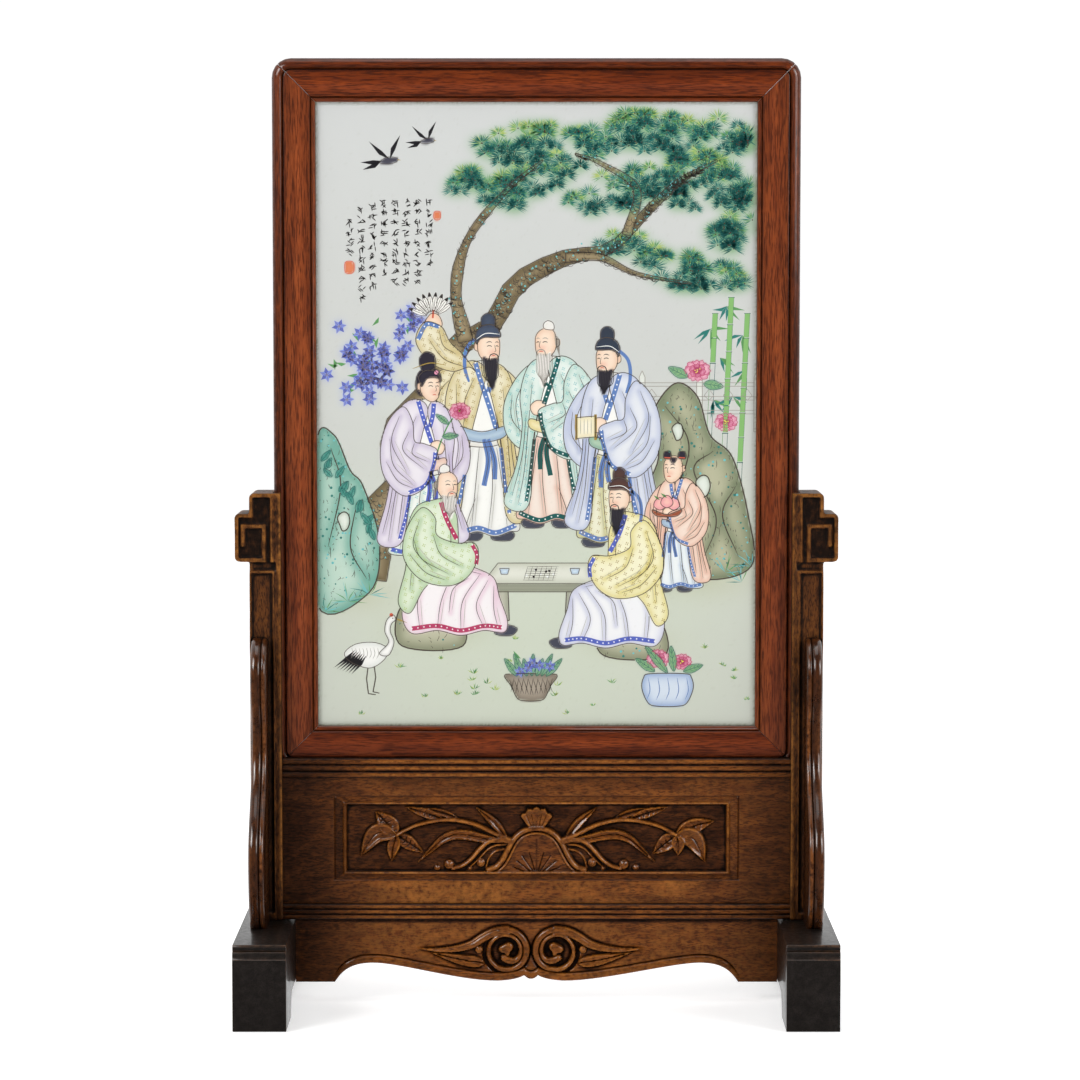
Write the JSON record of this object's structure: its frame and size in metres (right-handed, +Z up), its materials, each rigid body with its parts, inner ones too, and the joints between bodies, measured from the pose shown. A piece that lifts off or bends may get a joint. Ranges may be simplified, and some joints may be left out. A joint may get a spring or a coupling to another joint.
{
  "type": "table screen",
  "caption": "Painted porcelain plaque in a mitred wood frame, standing in a carved wood stand with block feet, scroll finials, S-shaped spandrels and a flowered panel.",
  "frame": {"origin": "Middle of the stand's base, on the surface it stands on", "axes": "+Z up, the front with the painting faces -Y, +X to the right of someone who looks at the painting"},
  "size_m": [0.3748, 0.2, 0.5891],
  "materials": {
    "porcelain": "glossy pale celadon glaze with overglaze painting",
    "frame_wood": "polished red-brown rosewood",
    "stand_wood": "waxed dark brown hardwood, golden on worn edges",
    "foot_wood": "waxed near-black hardwood"
  },
  "bodies": {
    "root": {"plaque": "porcelain", "frame_top_rail": "frame_wood", "frame_bottom_rail": "frame_wood", "frame_left_stile": "frame_wood", "frame_right_stile": "frame_wood", "left_post": "stand_wood", "right_post": "stand_wood", "left_foot": "foot_wood", "right_foot": "foot_wood", "left_front_spandrel": "stand_wood", "right_front_spandrel": "stand_wood", "left_rear_spandrel": "stand_wood", "right_rear_spandrel": "stand_wood", "upper_rail": "stand_wood", "carved_panel": "stand_wood", "lower_rail": "stand_wood", "apron": "stand_wood"}
  },
  "joints": []
}
